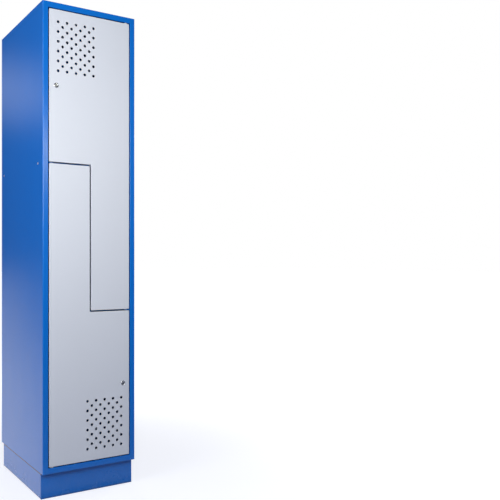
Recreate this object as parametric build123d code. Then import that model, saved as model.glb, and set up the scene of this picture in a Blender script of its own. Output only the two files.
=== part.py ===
from build123d import *

import os

# A free-standing steel locker for two users. Two L-shaped doors share the front, and the parting line
# between them draws a Z. The lower half is the upper half turned half round about the middle of the front.
# Origin: on the floor, under the middle of the body. +X to the right, the front faces -Y, +Z up.

# Overall size
width = 400.0
depth = 500.0
body_height = 1800.0
plinth_height = 100.0

# Carcass sheet, its folds and the front frame
sheet = 1.0
corner_radius = 3.0  # outside radius of the upright corners, front and back
fold_radius = 1.5  # outside radius of every tighter fold
frame_face = 22.0  # width of the frame seen round the doors
stop_lip = 13.0  # lip behind the free edges of the doors
seam_flange = 15.0  # welding flanges of roof, floor and divider
back_fold = 20.0  # fold of the side panels round the back
tray_height = 24.0  # height of the shelf trays and width of the divider channel
hinge_room = 35.0  # no lip or tray front this close to a hinge edge

# Doors
door_gap = 4.0  # between a door and the frame
parting_gap = 6.0  # between the two doors
step_height = 287.0  # each level parting line, above or below the middle
door_depth = 18.0
door_sheet = 1.0
door_fold = 1.5  # outside radius of the door's front edges
door_corner = 3.0  # rounding of the door's corners, seen from the front
door_lip = 14.0  # folded lip round the back of the door
buffer_room = 3.0  # between the back of a door and the stop lip

# Vent holes
hole_diameter = 11.0
hole_pitch = 18.8  # from one column or half row to the next
hole_columns = 9
hole_rows = 6
hole_edge = 36.5  # first column from the door's free edge
hole_drop = 46.0  # first row from the door's end

# Door stiffener
stiffener_sheet = 0.8
stiffener_width = 30.0
stiffener_lip = 12.0
stiffener_room = 2.0  # between the stiffener and the back lip of the door
stiffener_end = 30.0  # from each end of the door

# Rubber buffers
buffer_diameter = 7.0
buffer_inset = 4.5  # centre from the door's free edge
buffer_end = 60.0  # from the ends of the free edges
buffer_chamfer_share = 0.25  # of the room that a buffer fills
seat_gap = 0.3  # between a moving piece and what it rests against

# Pivots
pivot_inset = 13.0  # from the door's hinge edge
pivot_depth = 8.0  # behind the front
pin_diameter = 6.0
pin_head_diameter = 11.0
pin_head_height = 4.0
running_clearance = 0.05  # on the radius, between shaft and bore
bush_diameter = 9.0
bush_collar_diameter = 12.0
bush_length = 12.0
bracket_sheet = 2.0
bracket_width = 13.0

# Locks
lock_edge = 28.5  # from the door's free edge
lock_drop = 291.0  # from the door's end
rosette_diameter = 20.0
rosette_height = 2.5
rosette_chamfer = 1.0
barrel_diameter = 16.0
plug_diameter = 11.0
plug_recess = 0.6  # face of the plug below the rosette
keyway_width = 1.8
keyway_height = 7.5
keyway_depth = 12.0
nut_flats = 19.0
nut_height = 4.0
cam_sheet = 2.0
cam_width = 13.0
cam_reach = 27.0  # from the lock's axis to the tip
cam_clearance = 0.5  # between the cam and the stop lip
cam_square = 7.0
cam_screw_diameter = 9.0
cam_screw_height = 3.0
screw_chamfer_share = 0.25  # of the screw head's height

# Clothes rods and coat hooks
rod_diameter = 15.0
rod_wall = 1.2
rod_drop = 70.0  # below the ceiling of the compartment
socket_diameter = 30.0
socket_base = 2.0
socket_depth = 10.0
socket_wall = 2.5
socket_clearance = 0.1
ring_wall = 3.0
ring_width = 8.0
hook_wire = 4.0
hook_shank = 20.0
hook_radius = 12.0
hook_rise = 9.0
hook_tip_diameter = 7.0
hook_place_share = 0.33  # of half the width, either side of the middle

# Rivets of the partition
rivet_diameter = 4.8
rivet_head_diameter = 9.0
rivet_head_height = 1.4
rivet_tail_diameter = 7.0
rivet_tail_height = 2.5
dome_share = 0.8  # of a rivet head's height, rounded off
rivet_front = 52.0
rivet_back = 35.0

# Holes for fixing to a wall
wall_hole_diameter = 8.0
wall_hole_spacing = 300.0
wall_hole_drop = 60.0

# Plinth and its bolts
plinth_sheet = 1.5
plinth_fold = 3.0
plinth_flange = 25.0
plinth_recess = 25.0  # front and back
plinth_side_recess = 1.5
bolt_diameter = 6.0
bolt_flats = 10.0
bolt_head_height = 4.0
bolt_nut_height = 5.0
bolt_tail = 3.0  # thread past the nut
bolt_inset = 75.0  # from the front and back of the plinth

# Every cut runs past its sheet by this much
overrun = 2.0

# Places worked out from the sizes
half = width / 2
front = -depth / 2
back = depth / 2
bottom = plinth_height
top = plinth_height + body_height
middle = (bottom + top) / 2
inner = half - sheet
frame_edge = half - frame_face
header_bottom = top - frame_face
frame_return = door_depth + buffer_room + sheet
strip_back = front + frame_return
rear = back - 2 * sheet
upper_line = middle + step_height
lower_line = middle - step_height
strip_half = tray_height / 2
door_edge = frame_edge - door_gap
door_top = header_bottom - door_gap
door_step = upper_line + parting_gap / 2
door_bottom = lower_line + parting_gap / 2
door_back = front + door_depth
door_inside = front + door_sheet
pivot_x = door_edge - pivot_inset
pivot_y = front + pivot_depth
lock_x = -door_edge + lock_edge
lock_z = door_top - lock_drop
cam_front = strip_back + cam_clearance
fold_line = fold_radius - sheet / 2
corner_line = corner_radius - sheet / 2
panel_half = half - corner_radius
rear_corner = back - corner_radius
plinth_half = half - plinth_side_recess
plinth_front = front + plinth_recess
plinth_back = back - plinth_recess
upper_rod_z = top - sheet - rod_drop
lower_rod_z = upper_line + strip_half - sheet - rod_drop
hook_x = hook_place_share * half

# Turns a piece of the upper half into its twin in the lower half
twin = Pos(0, 0, 2 * middle) * Rot(Y=180)


# Shapes used by many pieces
def block(x, y, z):
    """Box between two limits along each axis."""
    return Pos(x[0], y[0], z[0]) * Box(x[1] - x[0], y[1] - y[0], z[1] - z[0], align=Align.MIN)


def cylinder_up(x, y, z, radius):
    """Cylinder along Z between two heights."""
    return Pos(x, y, z[0]) * Cylinder(radius, z[1] - z[0], align=(Align.CENTER, Align.CENTER, Align.MIN))


def cylinder_in(x, z, y, radius):
    """Cylinder along Y between two depths."""
    solid = Cylinder(radius, y[1] - y[0], align=(Align.CENTER, Align.CENTER, Align.MIN))
    return Pos(x, y[0], z) * Rot(X=-90) * solid


def cylinder_across(y, z, x, radius):
    """Cylinder along X between two places."""
    solid = Cylinder(radius, x[1] - x[0], align=(Align.CENTER, Align.CENTER, Align.MIN))
    return Pos(x[0], y, z) * Rot(Y=90) * solid


def bent_sheet(points, radii, thickness):
    """Section of a folded sheet, from the middle line of its thickness."""
    return trace(FilletPolyline(*points, radius=radii), line_width=thickness)


def along_x(section, x):
    """Extrude a section drawn in Y and Z between two places along X."""
    return extrude(Plane.YZ.offset(x[0]) * section, amount=x[1] - x[0])


def along_y(section, y):
    """Extrude a section drawn in X and Z between two depths."""
    return extrude(Plane.XZ.offset(-y[1]) * section, amount=y[1] - y[0])


def along_z(section, z):
    """Extrude a section drawn in X and Y between two heights."""
    return extrude(Plane.XY.offset(z[0]) * section, amount=z[1] - z[0])


def group(pieces):
    """Separate solids of one node."""
    return Compound([solid for piece in pieces for solid in piece.solids()])


def hexagon(flats):
    """Six-sided section, measured across its flats."""
    return RegularPolygon(flats / 2, 6, major_radius=False)


# Side panels: wall, front stile with its return and stop lip, and a fold round the back
def side_section(kind):
    """Plan of the left side panel: plain at its ends, with a return, or with a return and a lip."""
    stile = -frame_edge - sheet / 2
    wall = -half + sheet / 2
    face = front + sheet / 2
    rear_fold = back - sheet / 2
    tail = [(wall, face), (wall, rear_fold), (-half + back_fold, rear_fold)]
    tail_radii = [corner_line, corner_line]
    if kind == "plain":
        return bent_sheet([(-frame_edge, face), *tail], tail_radii, sheet)
    if kind == "return":
        head = [(stile, strip_back), (stile, face)]
        return bent_sheet([*head, *tail], [fold_line, *tail_radii], sheet)
    lip = strip_back - sheet / 2
    head = [(-frame_edge + stop_lip, lip), (stile, lip), (stile, face)]
    return bent_sheet([*head, *tail], [fold_line, fold_line, *tail_radii], sheet)


def envelope():
    """Body with its level front edges rounded as the header and sill are."""
    body = block((-half, half), (front, back), (bottom, top))
    edges = body.faces().sort_by(Axis.Y)[0].edges().filter_by(Axis.X)
    return fillet(edges, radius=fold_radius)


def rivet_places():
    """Depths of the two rivets that hold a shelf tray to its side panel."""
    return [front + rivet_front, back - rivet_back]


def side_panel():
    """Left side panel. Its stop lip serves the upper door, above the shelf tray."""
    lip_bottom = upper_line + strip_half
    lip_top = header_bottom - stop_lip
    plain = side_section("plain")
    ends = along_z(plain, (bottom, bottom + frame_face)) + along_z(plain, (header_bottom, top))
    panel = ends & envelope()
    panel += along_z(side_section("return"), (bottom + frame_face, lip_bottom))
    panel += along_z(side_section("lip"), (lip_bottom, lip_top))
    panel += along_z(side_section("return"), (lip_top, header_bottom))
    through = (-half - overrun, -inner + overrun)
    for y in rivet_places():
        panel -= cylinder_across(y, upper_line, through, rivet_diameter / 2)
    return panel


# Roof and floor: a plate with the header or sill folded from its front edge
def end_panel():
    """Roof, with the header, its return and stop lip, the back fold and two welding flanges."""
    plate = block((-inner, inner), (front + sheet, back - sheet), (top - sheet, top))
    plate = fillet(plate.edges().filter_by(Axis.Z), radius=corner_radius - sheet)
    face = front + sheet / 2
    lip = strip_back - sheet / 2
    return_line = header_bottom + sheet / 2
    roof_line = top - sheet / 2
    header = [
        (lip, header_bottom - stop_lip),
        (lip, return_line),
        (face, return_line),
        (face, roof_line),
        (strip_back, roof_line),
    ]
    panel = plate + along_x(bent_sheet(header, fold_line, sheet), (-frame_edge, frame_edge))
    rear_fold = back - sheet / 2
    tail = [(back - seam_flange, roof_line), (rear_fold, roof_line), (rear_fold, top - seam_flange)]
    fold_half = half - back_fold
    panel += along_x(bent_sheet(tail, fold_line, sheet), (-fold_half, fold_half))
    for side in (-1, 1):
        flange = sorted((side * inner, side * (inner - sheet)))
        panel += block(flange, (strip_back, rear_corner), (top - seam_flange, top - sheet))
    hinge_end = (frame_edge - hinge_room, frame_edge + overrun)
    lip_depth = (strip_back - 2 * sheet, strip_back + overrun)
    panel -= block(hinge_end, lip_depth, (header_bottom - stop_lip - overrun, header_bottom))
    pin_ends = (header_bottom - overrun, header_bottom + overrun)
    return panel - cylinder_up(pivot_x, pivot_y, pin_ends, pin_diameter / 2)


def bolt_places():
    """Places of the bolts that hold the body on its plinth."""
    x = plinth_half - plinth_flange / 2
    y = plinth_back - bolt_inset
    return [(-x, -y), (x, -y), (-x, y), (x, y)]


def floor_panel():
    """Floor: the roof's twin, drilled for the plinth bolts."""
    panel = twin * end_panel()
    for x, y in bolt_places():
        panel -= cylinder_up(x, y, (bottom - overrun, bottom + overrun), bolt_diameter / 2)
    return panel


def back_panel():
    """Flat back, welded inside the folds, with two holes for fixing to a wall."""
    panel = block((-panel_half, panel_half), (rear, rear + sheet), (bottom + fold_radius, top - fold_radius))
    for side in (-1, 1):
        x = side * wall_hole_spacing / 2
        panel -= cylinder_in(x, top - wall_hole_drop, (rear - overrun, back), wall_hole_diameter / 2)
    return panel


# Z partition: two shelf trays, the divider between them and the channel on its front edge
def shelf_tray():
    """Upper shelf, an upturned tray from the left wall to the divider, behind the upper parting line."""
    tray_top = upper_line + strip_half
    tray_bottom = upper_line - strip_half
    plate_line = tray_top - sheet / 2
    sides = (tray_bottom, tray_top - sheet)
    tray = block((-inner, strip_half), (strip_back, rear), (tray_top - sheet, tray_top))
    strip_line = strip_back - sheet / 2
    strip = [(strip_back + seam_flange, plate_line), (strip_line, plate_line), (strip_line, tray_bottom)]
    tray += along_x(bent_sheet(strip, fold_line, sheet), (-frame_edge, strip_half))
    tray += block((-inner, -inner + sheet), (strip_back, rear), sides)
    tray += block((strip_half - sheet, strip_half), (strip_line, rear), sides)
    tray += block((-inner, strip_half), (rear - sheet, rear), sides)
    hinge_end = (-frame_edge - overrun, -frame_edge + hinge_room)
    strip_depth = (strip_back - 2 * sheet, strip_back + overrun)
    tray -= block(hinge_end, strip_depth, (tray_bottom - overrun, upper_line))
    tray -= block((-half, -panel_half), (rear_corner, back), (tray_bottom - overrun, tray_top + overrun))
    for y in rivet_places():
        tray -= cylinder_across(y, upper_line, (-half, -inner + overrun), rivet_diameter / 2)
    return tray


def centre_divider():
    """Upright wall between the two legs, with a welding flange at its back edge."""
    z = (lower_line - strip_half + fold_radius, upper_line + strip_half - fold_radius)
    wall = block((-sheet / 2, sheet / 2), (strip_back, rear - sheet), z)
    z = (lower_line + strip_half, upper_line - strip_half)
    return wall + block((-sheet / 2, seam_flange), (rear - sheet, rear), z)


def divider_channel():
    """Channel that closes the upright parting line and stops the two door legs."""
    edge = strip_half - sheet / 2
    web = strip_back - sheet / 2
    tip = strip_back + seam_flange
    section = bent_sheet([(-edge, tip), (-edge, web), (edge, web), (edge, tip)], fold_line, sheet)
    return along_z(section, (lower_line + strip_half, upper_line - strip_half))


def partition_rivets():
    """Two blind rivets through each side panel and its shelf tray."""
    rivets = []
    for y in rivet_places():
        shank = cylinder_across(y, upper_line, (-half, -inner + sheet), rivet_diameter / 2)
        head = cylinder_across(y, upper_line, (-half - rivet_head_height, -half), rivet_head_diameter / 2)
        rim = head.edges().group_by(Axis.X)[0]
        head = fillet(rim, radius=rivet_head_height * dome_share)
        tail_ends = (-inner + sheet, -inner + sheet + rivet_tail_height)
        tail = cylinder_across(y, upper_line, tail_ends, rivet_tail_diameter / 2)
        rivet = shank + head + tail
        rivets += [rivet, twin * rivet]
    return group(rivets)


# Doors: an L-shaped pan with folded edges
def door_outline(inset):
    """Front view of the upper door, drawn in by an inset all round."""
    left = -door_edge + inset
    right = door_edge - inset
    leg = parting_gap / 2 + inset
    high = door_top - inset
    step = door_step + inset
    low = door_bottom + inset
    corners = [(left, step), (leg, step), (leg, low), (right, low), (right, high), (left, high)]
    return Polygon(*corners, align=None)


def rounded_slab(inset, y, corner, fold):
    """Slab of the door's outline, with rounded corners and a rounded front edge."""
    slab = along_y(door_outline(inset), y)
    slab = fillet(slab.edges().filter_by(Axis.Y), radius=corner)
    return fillet(slab.faces().sort_by(Axis.Y)[0].edges(), radius=fold)


def vent_holes():
    """Staggered field of round holes near the door's end, clear of its free edge."""
    holes = []
    for column in range(hole_columns):
        shift = column % 2
        for row in range(hole_rows - shift):
            x = -door_edge + hole_edge + column * hole_pitch
            z = door_top - hole_drop - (2 * row + shift) * hole_pitch
            holes.append(cylinder_in(x, z, (front - overrun, door_inside + overrun), hole_diameter / 2))
    return holes


def door_panel():
    """Upper door: face, edges and back lip, with its vent holes, lock hole and bush holes."""
    outside = rounded_slab(0, (front, door_back), door_corner, door_fold)
    pocket = rounded_slab(
        door_sheet, (door_inside, door_back - door_sheet), door_corner - door_sheet, door_fold - door_sheet
    )
    window = along_y(door_outline(door_lip), (door_inside + door_fold, door_back + overrun))
    panel = outside - pocket - window
    panel -= vent_holes()
    panel -= cylinder_in(lock_x, lock_z, (front - overrun, door_inside + overrun), barrel_diameter / 2)
    for edge in (door_top, door_bottom):
        panel -= cylinder_up(pivot_x, pivot_y, (edge - overrun, edge + overrun), bush_diameter / 2)
    return panel


def door_stiffener():
    """Hat-shaped stiffener up the door's leg, glued to the inside of the face."""
    centre = (parting_gap / 2 + door_edge) / 2
    foot = door_inside + stiffener_sheet / 2
    crown = door_back - door_sheet - stiffener_room - stiffener_sheet / 2
    edge = stiffener_width / 2
    toe = edge + stiffener_lip
    points = [(-toe, foot), (-edge, foot), (-edge, crown), (edge, crown), (edge, foot), (toe, foot)]
    section = Pos(centre, 0) * bent_sheet(points, stiffener_sheet, stiffener_sheet)
    return along_z(section, (door_bottom + stiffener_end, door_top - stiffener_end))


def bush(edge, collar, into):
    """Nylon bush pressed into a door's end at a height, its collar outside and its body inside."""
    body = cylinder_up(pivot_x, pivot_y, sorted((edge, edge + into * bush_length)), bush_diameter / 2)
    body += cylinder_up(pivot_x, pivot_y, sorted((edge, edge - into * collar)), bush_collar_diameter / 2)
    ends = sorted((edge - into * (collar + overrun), edge + into * (bush_length + overrun)))
    return body - cylinder_up(pivot_x, pivot_y, ends, pin_diameter / 2 + running_clearance)


def door_bushes():
    """Bushes in the top and bottom of the upper door."""
    upper = bush(door_top, door_gap - seat_gap, -1)
    lower = bush(door_bottom, (parting_gap - bracket_sheet) / 2 - seat_gap, 1)
    return group([upper, lower])


def door_buffers():
    """Rubber buffers on the back lip, along the free edges that close against a lip or channel."""
    places = [
        (-door_edge + buffer_inset, door_top - buffer_end),
        (-door_edge + buffer_inset, door_step + buffer_end),
        (parting_gap / 2 + buffer_inset, door_bottom + buffer_end),
    ]
    buffers = []
    for x, z in places:
        buffer = cylinder_in(x, z, (door_back, door_back + buffer_room - seat_gap), buffer_diameter / 2)
        rim = buffer.edges().group_by(Axis.Y)[-1]
        buffers.append(chamfer(rim, length=buffer_room * buffer_chamfer_share))
    return group(buffers)


# Pivots: a headed pin in the header, and a pin in a bracket on the right stile
def header_pivot():
    """Pin through the header's return into the top of the upper door."""
    plate_top = header_bottom + sheet
    pin = cylinder_up(pivot_x, pivot_y, (door_top - bush_length, plate_top), pin_diameter / 2)
    head_ends = (plate_top, plate_top + pin_head_height)
    return pin + cylinder_up(pivot_x, pivot_y, head_ends, pin_head_diameter / 2)


def hinge_bracket():
    """Plate welded to the right stile, in the parting gap below the upper door."""
    z = (lower_line - bracket_sheet / 2, lower_line + bracket_sheet / 2)
    y = (pivot_y - bracket_width / 2, pivot_y + bracket_width / 2)
    plate = block((pivot_x, frame_edge), y, z) + cylinder_up(pivot_x, pivot_y, z, bracket_width / 2)
    return plate - cylinder_up(pivot_x, pivot_y, (z[0] - overrun, z[1] + overrun), pin_diameter / 2)


def bracket_pin():
    """Pin that stands in the hinge bracket and carries the upper door."""
    ends = (lower_line - bracket_sheet / 2, door_bottom + bush_length)
    return cylinder_up(pivot_x, pivot_y, ends, pin_diameter / 2)


# Locks: housing and nut stay on the door, plug, cam and screw turn
def lock_housing():
    """Barrel through the door's face, with a chamfered rosette in front."""
    barrel = cylinder_in(lock_x, lock_z, (front, cam_front - seat_gap), barrel_diameter / 2)
    rosette = cylinder_in(lock_x, lock_z, (front - rosette_height, front), rosette_diameter / 2)
    rosette = chamfer(rosette.edges().group_by(Axis.Y)[0], length=rosette_chamfer)
    bore_ends = (front - rosette_height - overrun, cam_front + overrun)
    bore = cylinder_in(lock_x, lock_z, bore_ends, plug_diameter / 2 + running_clearance)
    return barrel + rosette - bore


def lock_nut():
    """Hexagon nut on the barrel, behind the door's face."""
    nut = along_y(Pos(lock_x, lock_z) * hexagon(nut_flats), (door_inside, door_inside + nut_height))
    return nut - cylinder_in(lock_x, lock_z, (front, door_inside + nut_height + overrun), barrel_diameter / 2)


def lock_plug():
    """Turning plug with a keyway, and a square at its back for the cam."""
    face = front - rosette_height + plug_recess
    plug = cylinder_in(lock_x, lock_z, (face, cam_front), plug_diameter / 2)
    square = Pos(lock_x, lock_z) * Rectangle(cam_square, cam_square)
    plug += along_y(square, (cam_front, cam_front + cam_sheet))
    x = (lock_x - keyway_width / 2, lock_x + keyway_width / 2)
    z = (lock_z - keyway_height / 2, lock_z + keyway_height / 2)
    return plug - block(x, (face - overrun, face + keyway_depth), z)


def lock_cam():
    """Cam, hanging straight down when unlocked."""
    tongue = cam_reach - cam_width / 2
    plate = Pos(lock_x, lock_z - tongue / 2) * SlotCenterToCenter(tongue, cam_width, rotation=90)
    eye = Pos(lock_x, lock_z) * Rectangle(cam_square, cam_square)
    return along_y(plate - eye, (cam_front, cam_front + cam_sheet))


def cam_screw():
    """Screw head that holds the cam on the plug."""
    ends = (cam_front + cam_sheet, cam_front + cam_sheet + cam_screw_height)
    screw = cylinder_in(lock_x, lock_z, ends, cam_screw_diameter / 2)
    return chamfer(screw.edges().group_by(Axis.Y)[-1], length=cam_screw_height * screw_chamfer_share)


# Clothes rods with end sockets, and the coat hooks that slide on them
def rod(x, z):
    """Tube across the compartment at half its depth, between two sockets."""
    ends = (x[0] + socket_base, x[1] - socket_base)
    tube = cylinder_across(0, z, ends, rod_diameter / 2)
    return tube - cylinder_across(0, z, (x[0], x[1]), rod_diameter / 2 - rod_wall)


def socket(wall, inward, z):
    """Round cup on a wall that holds one end of a rod."""
    cup_radius = rod_diameter / 2 + socket_clearance
    base = cylinder_across(0, z, sorted((wall, wall + inward * socket_base)), socket_diameter / 2)
    cup = cylinder_across(0, z, sorted((wall, wall + inward * socket_depth)), cup_radius + socket_wall)
    hollow = sorted((wall + inward * socket_base, wall + inward * (socket_depth + overrun)))
    return base + cup - cylinder_across(0, z, hollow, cup_radius)


def coat_hook(x, z):
    """Ring on the rod with a forward hook of round wire under it."""
    hole = rod_diameter / 2 + seat_gap
    ring_ends = (x - ring_width / 2, x + ring_width / 2)
    ring = cylinder_across(0, z, ring_ends, hole + ring_wall)
    start = z - hole - ring_wall / 2
    low = start - hook_shank
    tip = low + hook_rise
    path = Line((x, 0, start), (x, 0, low))
    path += ThreePointArc((x, 0, low), (x, -hook_radius, low - hook_radius), (x, -2 * hook_radius, low))
    path += Line((x, -2 * hook_radius, low), (x, -2 * hook_radius, tip))
    wire = sweep(Plane(origin=(x, 0, start), z_dir=(0, 0, -1)) * Circle(hook_wire / 2), path=path)
    hook = ring + wire + Pos(x, -2 * hook_radius, tip) * Sphere(hook_tip_diameter / 2)
    return hook - cylinder_across(0, z, (x - ring_width, x + ring_width), hole)


# Plinth: four channels that meet at the corners
def plinth_rail():
    """Front of the plinth: a wall across the whole width, with flanges between the sides."""
    wall_line = plinth_front + plinth_sheet / 2
    flange_end = plinth_front + plinth_flange
    low = plinth_sheet / 2
    high = plinth_height - plinth_sheet / 2
    points = [(flange_end, low), (wall_line, low), (wall_line, high), (flange_end, high)]
    section = bent_sheet(points, plinth_fold - plinth_sheet / 2, plinth_sheet)
    rail_half = plinth_half - plinth_fold
    rail = along_x(section, (-rail_half, rail_half))
    wall = block((-plinth_half, plinth_half), (plinth_front, plinth_front + plinth_sheet), (0, plinth_height))
    return rail + wall


def plinth_side():
    """Left side of the plinth, notched for the front and back flanges and drilled for its bolts."""
    wall_line = -plinth_half + plinth_sheet / 2
    flange_end = -plinth_half + plinth_flange
    low = plinth_sheet / 2
    high = plinth_height - plinth_sheet / 2
    points = [(flange_end, low), (wall_line, low), (wall_line, high), (flange_end, high)]
    section = bent_sheet(points, plinth_fold - plinth_sheet / 2, plinth_sheet)
    side = along_y(section, (plinth_front + plinth_sheet, plinth_back - plinth_sheet))
    x = (-plinth_half + plinth_fold, flange_end + overrun)
    z = (-overrun, plinth_height + overrun)
    for y in ((plinth_front, plinth_front + plinth_flange), (plinth_back - plinth_flange, plinth_back)):
        side -= block(x, y, z)
    for x, y in bolt_places():
        side -= cylinder_up(x, y, (plinth_height - overrun, plinth_height + overrun), bolt_diameter / 2)
    return side


def plinth_bolts():
    """Hexagon bolts down through the floor and the plinth's flanges."""
    floor_top = bottom + sheet
    nut_bottom = bottom - plinth_sheet - bolt_nut_height
    bolts = []
    for x, y in bolt_places():
        bolt = cylinder_up(x, y, (nut_bottom - bolt_tail, floor_top), bolt_diameter / 2)
        head = Pos(x, y) * hexagon(bolt_flats)
        bolts.append(bolt + along_z(head, (floor_top, floor_top + bolt_head_height)))
    return group(bolts)


def plinth_nuts():
    """Nuts under the plinth's top flanges."""
    nut_top = bottom - plinth_sheet
    section = hexagon(bolt_flats) - Circle(bolt_diameter / 2)
    nuts = [along_z(Pos(x, y) * section, (nut_top - bolt_nut_height, nut_top)) for x, y in bolt_places()]
    return group(nuts)


# Every piece under the name of its node
nodes = {
    "left_side_panel": side_panel(),
    "right_side_panel": twin * side_panel(),
    "roof_panel": end_panel(),
    "floor_panel": floor_panel(),
    "back_panel": back_panel(),
    "upper_shelf": shelf_tray(),
    "lower_shelf": twin * shelf_tray(),
    "centre_divider": centre_divider(),
    "divider_channel": divider_channel(),
    "partition_rivets": partition_rivets(),
    "header_pivot": header_pivot(),
    "sill_pivot": twin * header_pivot(),
    "upper_hinge_bracket": hinge_bracket(),
    "lower_hinge_bracket": twin * hinge_bracket(),
    "upper_bracket_pin": bracket_pin(),
    "lower_bracket_pin": twin * bracket_pin(),
    "upper_rod": rod((-inner, inner), upper_rod_z),
    "lower_rod": rod((-inner, -sheet / 2), lower_rod_z),
    "plinth_front": plinth_rail(),
    "plinth_back": mirror(plinth_rail(), about=Plane.XZ),
    "plinth_left": plinth_side(),
    "plinth_right": mirror(plinth_side(), about=Plane.YZ),
    "plinth_bolts": plinth_bolts(),
    "plinth_nuts": plinth_nuts(),
}
nodes["upper_rod_sockets"] = group([socket(-inner, 1, upper_rod_z), socket(inner, -1, upper_rod_z)])
nodes["lower_rod_sockets"] = group([socket(-inner, 1, lower_rod_z), socket(-sheet / 2, -1, lower_rod_z)])
upper_door_pieces = {
    "door_panel": door_panel(),
    "door_stiffener": door_stiffener(),
    "door_bushes": door_bushes(),
    "door_buffers": door_buffers(),
    "lock_housing": lock_housing(),
    "lock_nut": lock_nut(),
    "lock_plug": lock_plug(),
    "lock_cam": lock_cam(),
    "cam_screw": cam_screw(),
}
for name, piece in upper_door_pieces.items():
    nodes["upper_" + name] = piece
    nodes["lower_" + name] = twin * piece
leg_middle = -half / 2
for side, label in ((-1, "left"), (1, "right")):
    nodes["upper_hook_" + label] = coat_hook(side * hook_x, upper_rod_z)
    nodes["lower_hook_" + label] = coat_hook(leg_middle + side * hook_x / 2, lower_rod_z)

os.makedirs("parts", exist_ok=True)
for name, shape in nodes.items():
    export_step(shape, "parts/" + name + ".step")
print(len(nodes), "nodes")
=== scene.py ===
import math

import bmesh
import bpy
from mathutils import Matrix, Vector


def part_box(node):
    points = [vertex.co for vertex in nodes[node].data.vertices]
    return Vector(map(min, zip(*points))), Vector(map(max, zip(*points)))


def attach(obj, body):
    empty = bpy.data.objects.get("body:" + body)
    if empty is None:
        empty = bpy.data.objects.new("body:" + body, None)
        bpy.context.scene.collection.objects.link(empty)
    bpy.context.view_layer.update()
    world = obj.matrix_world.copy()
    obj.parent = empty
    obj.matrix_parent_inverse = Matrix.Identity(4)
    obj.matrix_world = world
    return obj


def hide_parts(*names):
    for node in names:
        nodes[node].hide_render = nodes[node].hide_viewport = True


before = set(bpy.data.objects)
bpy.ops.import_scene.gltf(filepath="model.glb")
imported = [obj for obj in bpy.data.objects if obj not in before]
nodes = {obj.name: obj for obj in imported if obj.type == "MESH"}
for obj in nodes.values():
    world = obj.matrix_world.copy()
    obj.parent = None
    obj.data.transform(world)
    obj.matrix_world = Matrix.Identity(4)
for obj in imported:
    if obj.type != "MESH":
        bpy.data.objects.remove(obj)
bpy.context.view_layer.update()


# Plinth: four channels of 1.5 mm steel sheet, folded top and bottom, that meet at the corners and stand
# on their lower flanges. They are powder coated blue in one piece, with the fine orange peel that such
# a coat has, and floor dust gathers low on them.
def put(tree, kind, values=None, **properties):
    """Adds a shader node, sets its properties, and sets or links its inputs."""
    node = tree.nodes.new(kind)
    for name, value in properties.items():
        setattr(node, name, value)
    for name, value in (values or {}).items():
        if isinstance(value, bpy.types.NodeSocket):
            tree.links.new(value, node.inputs[name])
        else:
            node.inputs[name].default_value = value
    return node


def effect(name, inputs, outputs):
    """Starts a node group. Inputs are numbers, given with their defaults, or vectors, given as None."""
    group = bpy.data.node_groups.new(name, "ShaderNodeTree")
    for label, default in inputs.items():
        kind = "NodeSocketVector" if default is None else "NodeSocketFloat"
        socket = group.interface.new_socket(label, in_out="INPUT", socket_type=kind)
        if default is not None:
            socket.default_value = default
    for label, kind in outputs.items():
        group.interface.new_socket(label, in_out="OUTPUT", socket_type=kind)
    return group, group.nodes.new("NodeGroupInput").outputs, group.nodes.new("NodeGroupOutput").inputs


def maths(tree, operation, first, second):
    """Result of a sum, product or other operation on two values."""
    return put(tree, "ShaderNodeMath", {0: first, 1: second}, operation=operation).outputs[0]


def ramp(tree, value, start, end, low=0.0, high=1.0, interpolation="LINEAR"):
    """Value moved from one range to another and held at its ends."""
    limits = {"Value": value, "From Min": start, "From Max": end, "To Min": low, "To Max": high}
    return put(tree, "ShaderNodeMapRange", limits, interpolation_type=interpolation).outputs[0]


def grain(tree, place, size, detail=2.0):
    """Noise about the middle value 0, with features of a size in metres."""
    noise = put(tree, "ShaderNodeTexNoise", {"Vector": place, "Scale": 1 / size, "Detail": detail})
    return maths(tree, "SUBTRACT", noise.outputs["Fac"], 0.5)


# Orange peel: the low bumps of a baked powder coat, fine ones on top of broad ones
fine_size = 0.0016
broad_size = 0.009
orange_peel, given, wanted = effect(
    "orange_peel", {"Place": None, "Fine": 0.00002, "Broad": 0.00008}, {"Height": "NodeSocketFloat"}
)
fine = maths(orange_peel, "MULTIPLY", grain(orange_peel, given["Place"], fine_size), given["Fine"])
broad = maths(orange_peel, "MULTIPLY", grain(orange_peel, given["Place"], broad_size), given["Broad"])
orange_peel.links.new(maths(orange_peel, "ADD", fine, broad), wanted["Height"])

# Slow waves that rolling, folding and welding leave in thin sheet
wave_size = 0.22
sheet_waves, given, wanted = effect(
    "sheet_waves", {"Place": None, "Depth": 0.0006}, {"Height": "NodeSocketFloat"}
)
slow = grain(sheet_waves, given["Place"], wave_size, detail=1.0)
sheet_waves.links.new(maths(sheet_waves, "MULTIPLY", slow, given["Depth"]), wanted["Height"])

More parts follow.
